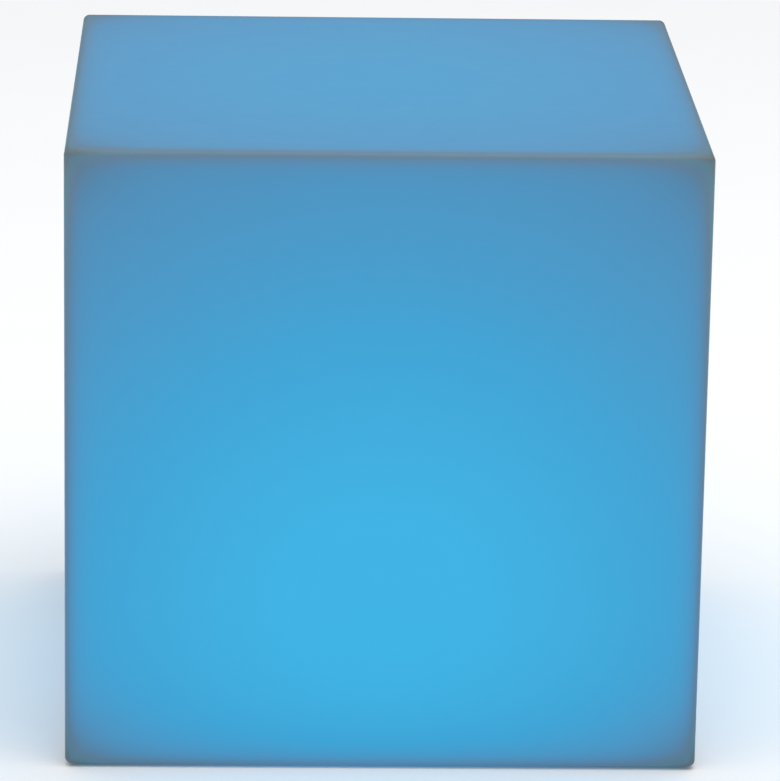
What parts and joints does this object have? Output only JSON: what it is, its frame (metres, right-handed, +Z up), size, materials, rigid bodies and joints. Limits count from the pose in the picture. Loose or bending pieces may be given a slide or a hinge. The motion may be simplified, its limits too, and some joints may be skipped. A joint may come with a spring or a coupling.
{
  "type": "led cube light",
  "caption": "Glowing garden cube lamp: a hollow translucent cube with a rechargeable LED unit screwed into a round well in its underside.",
  "frame": {"origin": "on the floor under the middle of the cube", "axes": "+Z up; the front face looks towards -Y; +X to the right seen from the front"},
  "size_m": [0.4, 0.4, 0.4015],
  "materials": {
    "shell": "satin rotomoulded polyethylene, lit from inside",
    "brass": "machined",
    "silicone": "moulded silicone",
    "silicone_dark": "moulded silicone",
    "housing": "moulded ABS, fine texture",
    "steel": "stainless",
    "aluminium": "sheet",
    "board_white": "white solder mask",
    "board_green": "green solder mask",
    "led_package": "moulded with clear fill",
    "chip_black": "moulded epoxy",
    "diffuser": "frosted polycarbonate",
    "cell_wrap": "shrink sleeve",
    "nickel": "nickel plated",
    "tray": "moulded ABS",
    "ferrite": "sintered ferrite",
    "capacitor": "drawn can",
    "connector": "moulded nylon",
    "lead_red": "silicone insulation",
    "lead_black": "silicone insulation",
    "lead_green": "silicone insulation",
    "lead_blue": "silicone insulation",
    "button": "moulded ABS",
    "rubber": "moulded",
    "spring_steel": "drawn wire",
    "socket": "moulded nylon",
    "clear_pipe": "clear acrylic"
  },
  "bodies": {
    "cube": {"base_gasket": "silicone", "base_housing": "housing", "base_screws": "steel", "battery_cell_front": "cell_wrap", "battery_cell_rear": "cell_wrap", "battery_clamp": "tray", "battery_connector_plug": "connector", "battery_connector_socket": "connector", "battery_lead_black": "lead_black", "battery_lead_red": "lead_red", "battery_tray": "tray", "button_spring": "spring_steel", "charge_inductor": "ferrite", "charge_socket": "socket", "clamp_screws": "steel", "colour_drivers": "chip_black", "control_board": "board_green", "control_board_screws": "steel", "controller_chip": "chip_black", "cube_shell": "shell", "dome_cover": "diffuser", "dome_screws": "steel", "dome_seal": "silicone", "filter_capacitor": "capacitor", "foot_pad_front_left": "rubber", "foot_pad_front_right": "rubber", "foot_pad_rear_left": "rubber", "foot_pad_rear_right": "rubber", "heat_spreader": "aluminium", "indicator_led": "led_package", "indicator_light_pipe": "clear_pipe", "infrared_receiver": "chip_black", "led_board": "board_white", "led_board_screws": "steel", "led_connector_plug": "connector", "led_connector_socket": "connector", "led_lead_blue": "lead_blue", "led_lead_common": "lead_black", "led_lead_green": "lead_green", "led_lead_red": "lead_red", "led_packages_inner": "led_package", "led_packages_outer": "led_package", "nickel_strip_negative": "nickel", "nickel_strip_positive": "nickel", "plug_anchor": "rubber", "protection_board": "board_green", "socket_centre_pin": "nickel", "socket_seal": "silicone_dark", "thermal_pad": "silicone", "threaded_inserts": "brass"},
    "button": {"power_button": "button", "button_seal": "silicone_dark", "contact_pill": "rubber"},
    "plug": {"port_plug": "rubber"}
  },
  "joints": [
    {"name": "button_press", "type": "slide", "parent": "cube", "child": "button", "axis": [0, 0, 1], "range_m": [0, 0.0012], "stiffness_N_per_m": 600, "springref_m": -0.0025, "deforming": ["button_spring"]},
    {"name": "plug_swing", "type": "hinge", "parent": "cube", "child": "plug", "pos_m": [0.0225, -0.024, 0.0205], "axis": [0, -1, 0], "range_deg": [0, 120]}
  ]
}
